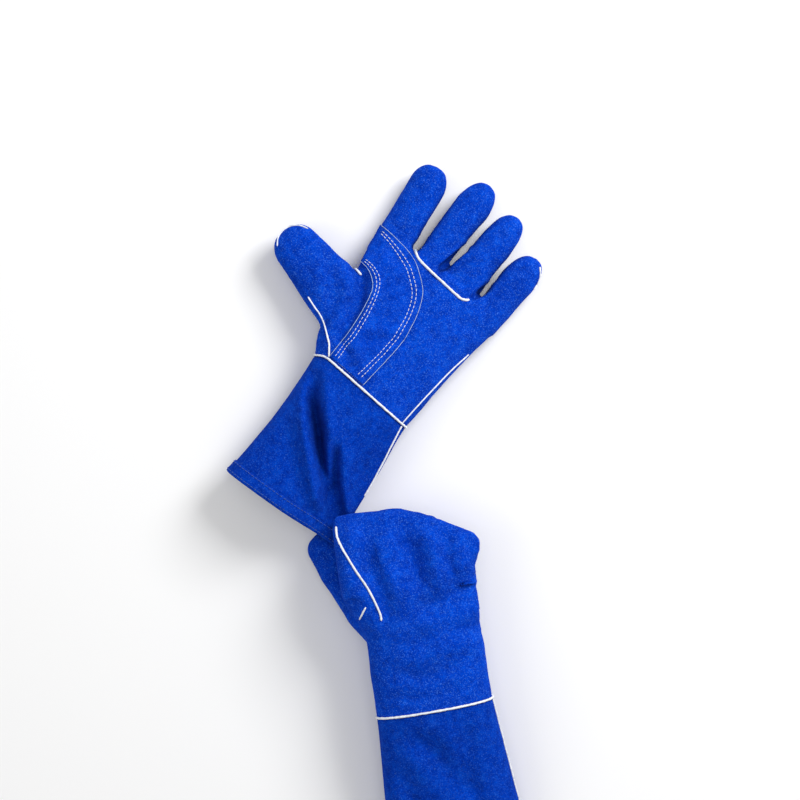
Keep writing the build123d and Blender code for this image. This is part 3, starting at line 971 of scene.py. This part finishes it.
def build_cuff(side):
    """Cuff leather, lining, hem, seam welt and their stitching"""
    cuff = f"{side}_cuff"
    pieces = []
    band = cuff_band(side, band_profile(BAND_START, BAND_END, 0.0, LEATHER))
    outer = new_object(f"{side}_cuff_leather", *band, side, CUFF_SUEDE)
    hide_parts(f"{side}_cuff_front", f"{side}_cuff_back", f"{side}_wrist_flex")
    band = cuff_band(side, band_profile(BAND_START, BAND_END, *LINING_INSETS))
    lining = new_object(f"{side}_cuff_canvas", *band, side, CANVAS)
    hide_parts(f"{side}_cuff_lining")
    hem = new_object(f"{side}_cuff_hem_band", *cuff_band(side, HEM_SECTION), side, CUFF_SUEDE)
    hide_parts(f"{side}_cuff_hem")
    for name, y in HEM_ROWS:
        turns = [2 * pi * j / HEM_POINTS for j in range(HEM_POINTS + 1)]
        points = [cuff_point(side, turn, y, -HEM_ROW_LIFT) for turn in turns]
        centre = Vector((0, y, mix(WRIST_Z, CUFF_SHAPE[side]["mid"], -y / CUFF_LENGTH)))
        normals = ring_normals(points, centre)
        row = new_object(f"{side}_{name}", *stitch_meshes(points, normals), side, BLUE_THREAD)
        pieces.append(row)
    turn, seam_end, lean = CUFF_SEAM[side]
    seam = []
    for i in range(SEAM_POINTS + 1):
        t = i / SEAM_POINTS
        seam.append(cuff_point(side, radians(turn) * mix(1, 0.4, t), mix(SEAM_START, seam_end, t)))
    outward = [Vector((0.8, 0, lean)).normalized()] * len(seam)
    welt = new_object(f"{side}_cuff_seam_welt", *welt_mesh(seam, outward, 0.8, 2.0, 0.5), side, WELT)
    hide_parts(f"{side}_cuff_welt")
    pieces += [outer, lining, hem, welt]
    for piece in pieces:
        if "hem" in piece.name:
            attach(piece, cuff)
        else:
            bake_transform(piece)


def ring_normals(points, centre):
    """Outward directions of a closed ring lying across the arm"""
    result = []
    for i, p in enumerate(points):
        ahead = points[min(i + 1, len(points) - 1)] - points[max(i - 1, 0)]
        n = ahead.cross(Vector((0, 1, 0)))
        if n.dot(p - centre) < 0:
            n = -n
        result.append(n.normalized() if n.length > 1e-6 else (p - centre).normalized())
    return result


# ---- hand ----
# Edges of the crescent patch in plan, from the index stall to the wrist.
PATCH_OUTER = (
    (-74, 141), (-50, 137.2), (-31, 131.7), (-19, 124), (-5, 110.3),
    (3, 90), (6.2, 64), (5, 46), (2.6, 27), (-0.5, 3),
)
PATCH_INNER = (
    (-69, 102), (-58, 99), (-49, 92.5), (-44, 84), (-41, 70),
    (-39.5, 54), (-39, 36), (-40.5, 20), (-41, 3),
)
PATCH_UNDERSIDE = 0.05
STITCH_ROWS_IN = {"outer": (6.2, 10.2), "inner": (3.9, 7.2)}  # mm in from each edge


def patch_grid(across, rows):
    """Plan points of the crescent patch, from its inner edge (0) to its outer edge (1)"""
    outer = along([(x, y, 0) for x, y in PATCH_OUTER], rows)
    inner = along([(x, y, 0) for x, y in PATCH_INNER], rows)
    return [[inner[i].lerp(outer[i], j / across) for j in range(across + 1)] for i in range(rows)]


def build_patch(side, tree):
    """Crescent reinforcement with raw white edges, laid on the palm, with its rows of stitches"""
    across, rows = PATCH_COLUMNS, PATCH_ROWS
    grid = patch_grid(across, rows)
    top = [drop(tree, p.x, p.y) for line in grid for p in line]
    width = across + 1  # points in a row
    verts = [hit + normal * PATCH_THICKNESS for hit, normal in top]
    verts += [hit + normal * PATCH_UNDERSIDE for hit, normal in top]
    n = len(top)
    faces = []
    edge_faces = []
    for i in range(rows - 1):
        for j in range(across):
            a, b, c, d = i * width + j, i * width + j + 1, (i + 1) * width + j + 1, (i + 1) * width + j
            faces.append((a, d, c, b))
            faces.append((n + a, n + b, n + c, n + d))
        for a, b in ((i * width, (i + 1) * width), ((i + 1) * width + across, i * width + across)):
            edge_faces.append((a, n + a, n + b, b))
    for j in range(across):
        edge_faces.append((j + 1, n + j + 1, n + j, j))
        last = (rows - 1) * width
        edge_faces.append((last + j, n + last + j, n + last + j + 1, last + j + 1))
    patch = new_object(f"{side}_palm_reinforcement", verts, faces + edge_faces, side, PATCH_SUEDE)
    patch.data.materials.append(RAW_EDGE)
    for polygon in list(patch.data.polygons)[len(faces):]:
        polygon.material_index = 1
    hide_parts(f"{side}_palm_patch")
    pieces = [patch]
    for tag, column in (("outer", across), ("inner", 0)):
        edge = [verts[i * width + column] for i in range(rows)]
        normals = [top[i * width + column][1] for i in range(rows)]
        cord = welt_mesh(edge, normals, 0.26, 4.0, 0.8)
        rim = new_object(f"{side}_patch_{tag}_raw_edge", *cord, side, RAW_EDGE)
        pieces.append(rim)
        for number, inset in enumerate(STITCH_ROWS_IN[tag]):
            points = []
            row_normals = []
            for i in range(3, rows - 3):
                inner, outer = grid[i][0], grid[i][-1]
                share = inset * mix(0.6, 1, ease(4 * i / rows)) / max((outer - inner).length, 1)
                p = inner.lerp(outer, share if column == 0 else 1 - share)
                hit, normal = drop(tree, p.x, p.y)
                points.append(hit + normal * PATCH_THICKNESS)
                row_normals.append(normal)
            stitches = stitch_meshes(points, row_normals)
            row = new_object(f"{side}_patch_{tag}_stitch_{number + 1}", *stitches, side, THREAD)
            pieces.append(row)
    for piece in pieces:
        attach(piece, f"{side}_hand")


# Welts seen at the left stalls' tips: (stall, points in plan, radius).
TIP_WELTS = (
    ("thumb", ((-142, 68), (-146, 75), (-146.5, 83), (-143.5, 90), (-137, 95.5), (-128, 98)), 0.7),
    ("little", ((71.5, 194.5), (77.5, 186), (80, 174)), 0.85),
)
# Welts of the hands: (name, points in plan, radius, whether on the palm side).
SEAMS = {
    "left": (
        (
            "knuckle_welt",
            ((-34.8, 140.5), (-32, 137.5), (-23, 133.5), (-1, 130), (24, 126.5), (31, 127.2), (35, 130)),
            1.35, True,
        ),
        (
            "thumb_seam_welt",
            ((-91, 45), (-80, 40), (-71.5, 36.5), (-59, 28.5), (-50.5, 18.5), (-45.5, 9), (-41.6, 1.7)),
            0.9, True,
        ),
        ("thumb_crotch_welt", ((-70.5, 93), (-66, 92), (-61.5, 91.2)), 1.3, True),
        ("ulnar_side_welt", ((49.5, 1), (51.8, 20), (55, 42), (59, 67), (63.8, 88)), 0.7, True),
    ),
    "right": (
        (
            "index_back_welt",
            ((-60.5, 182), (-60, 169), (-50, 141), (-40.5, 119), (-34.5, 98), (-34, 90)),
            1.15, False,
        ),
        ("thumb_back_welt", ((-46, 105), (-50, 99.5), (-54, 94)), 1.0, False),
    ),
}


SOCK_SPAN = slice(3, 46)  # rings of the hand that its cotton lining follows
SOCK_INSET = 0.34  # share of the way from the skin to the middle
SOCK_THICKNESS = 1.2
SOCK_MIDDLE = Vector((0, 0, 20))


def build_hand(side):
    """Hand and finger leathers, their linings, welts and stitching"""
    form = make_form(side)
    tree = BVHTree.FromPolygons(form[0], form[1])
    hand = f"{side}_hand"
    palm = shell_piece(f"{side}_hand_leather", side, form, "hand", SUEDE)
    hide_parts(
        *(f"{side}_{n}" for n in ("palm_leather", "back_leather", "finger_gussets", "finger_flex_zones")),
    )
    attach(palm, hand)
    rings = []
    for ring in hand_rings(side)[SOCK_SPAN]:
        centre = middle(ring)
        rings.append([v.lerp(centre, SOCK_INSET) for v in ring])
    verts, faces = ring_tube(rings)
    mouth = len(rings[0])
    faces = faces[:len(faces) - 2 * mouth] + faces[len(faces) - mouth:]
    thick = [v + (Vector((v.x, 0, v.z)) - SOCK_MIDDLE).normalized() * SOCK_THICKNESS for v in verts]
    n = len(verts)
    rim = [((j + 1) % mouth, j, n + j, n + (j + 1) % mouth) for j in range(mouth)]
    both = [tuple(reversed(face)) for face in faces] + [tuple(n + i for i in face) for face in faces] + rim
    sock = new_object(f"{side}_hand_cotton", verts + thick, both, side, COTTON)
    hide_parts(f"{side}_hand_lining", *(f"{side}_{name}_lining" for name in FINGERS[side]))
    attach(sock, hand)
    for name, finger in FINGERS[side].items():
        stall = shell_piece(f"{side}_{name}_stall", side, form, name, SUEDE)
        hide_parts(f"{side}_{name}_front", f"{side}_{name}_back")
        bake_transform(stall)
    for name, plan, radius, palmward in SEAMS[side]:
        points, normals = on_surface(tree, plan, 1.1, palmward)
        welt = new_object(f"{side}_{name}", *welt_mesh(points, normals, radius, 1.0), side, WELT)
        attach(welt, hand)
    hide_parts(f"{side}_hand_welts")
    if side == "left":
        for name, plan, radius in TIP_WELTS:
            points, normals = on_surface(tree, plan, 1.0)
            cord = welt_mesh(points, normals, radius, 3.0, 0.5)
            welt = new_object(f"{side}_{name}_tip_welt", *cord, side, WELT)
            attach(welt, f"{side}_{name}")
    ring = [cuff_point(side, 2 * pi * j / RING_POINTS, 0, 0.1) for j in range(RING_POINTS + 1)]
    cord = welt_mesh(ring, ring_normals(ring, Vector((0, 0, WRIST_Z))), 1.2, 6.0, 0.5)
    wrist = new_object(f"{side}_wrist_piping", *cord, side, WELT)
    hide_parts(f"{side}_wrist_welt")
    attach(wrist, hand)
    build_patch(side, tree)


# ---- studio ----
FLOOR_HALF, FLOOR_HEIGHT = 6.0, -0.0004  # m
WORLD_STRENGTH = 0.42
# Area lights, placed as the camera sees the pair: (name, place in m, power in W, size in m).
LIGHTS = (
    ("key", (1.1, 1.1, 1.25), 34, 0.9),
    ("fill", (-1.3, -0.2, 1.5), 6, 1.2),
    ("top", (0, 0.2, 2.3), 7, 1.0),
)


def build_studio():
    """Plain pale floor, white surround and soft lights"""
    mesh = bpy.data.meshes.new("floor")
    corners = ((-1, -1), (1, -1), (1, 1), (-1, 1))
    mesh.from_pydata([(x * FLOOR_HALF, y * FLOOR_HALF, FLOOR_HEIGHT) for x, y in corners], [], [(0, 1, 2, 3)])
    floor = add_object("floor", mesh)
    material, _, _, shader = new_material("floor_paper")
    shader.inputs["Base Color"].default_value = (0.93, 0.93, 0.93, 1)
    shader.inputs["Roughness"].default_value = 0.9
    floor.data.materials.append(material)
    world = bpy.data.worlds.new("surround")
    world.use_nodes = True
    background = world.node_tree.nodes["Background"]
    background.inputs["Color"].default_value = (1, 1, 1, 1)
    background.inputs["Strength"].default_value = WORLD_STRENGTH
    bpy.context.scene.world = world
    up = Matrix.Rotation(PHOTO_TURN, 4, "Z")
    for name, place, watts, size in LIGHTS:
        data = bpy.data.lights.new(name, "AREA")
        data.energy = watts
        data.size = size
        position = up @ Vector(place)
        turn = (-position).to_track_quat("-Z", "Y").to_matrix().to_4x4()
        add_object(name, data).matrix_world = Matrix.Translation(position) @ turn
    bpy.context.scene.view_settings.view_transform = "Standard"


for glove_side in ("left", "right"):
    build_hand(glove_side)
    build_cuff(glove_side)
build_studio()
